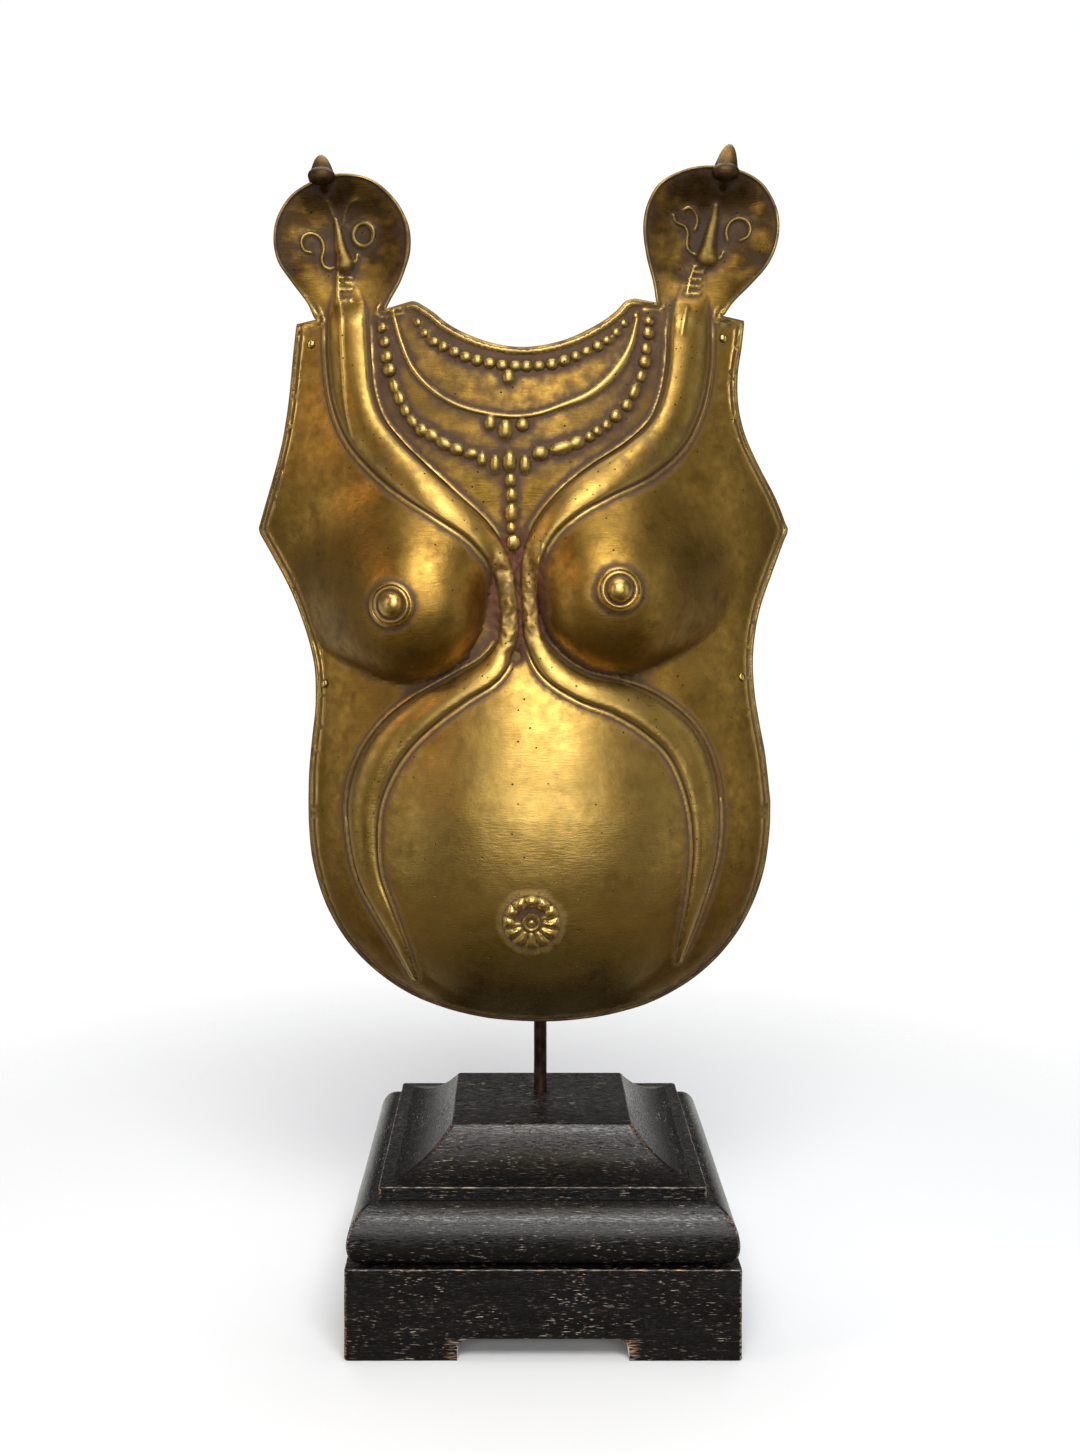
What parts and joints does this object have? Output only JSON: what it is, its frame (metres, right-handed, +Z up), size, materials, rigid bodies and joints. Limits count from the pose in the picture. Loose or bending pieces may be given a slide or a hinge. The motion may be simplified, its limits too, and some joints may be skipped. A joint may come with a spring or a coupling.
{
  "type": "ceremonial breastplate on stand",
  "caption": "Cast brass ceremonial breastplate with two hooded cobras, raised bead necklaces and a navel rosette, held on a rod over a stepped ebonised wood pedestal.",
  "frame": {"origin": "on the floor under the middle of the whole object's box", "axes": "+X to the viewer's right, +Y away from the viewer, +Z up; the plate faces -Y"},
  "size_m": [0.3568, 0.212, 0.7328],
  "materials": {
    "cast_brass": "aged cast brass, rubbed bright on the high places and brown in the hollows",
    "rivet_brass": "aged brass, rubbed",
    "dark_steel": "blackened steel rod",
    "ebonised_wood": "black stain under wax, open grain, worn at the edges"
  },
  "bodies": {
    "root": {"breastplate": "cast_brass", "shoulder_rivet_left": "rivet_brass", "shoulder_rivet_right": "rivet_brass", "waist_rivet_left": "rivet_brass", "waist_rivet_right": "rivet_brass", "stand_post": "dark_steel", "pedestal_top": "ebonised_wood", "pedestal_moulding": "ebonised_wood", "pedestal_plinth": "ebonised_wood"}
  },
  "joints": []
}
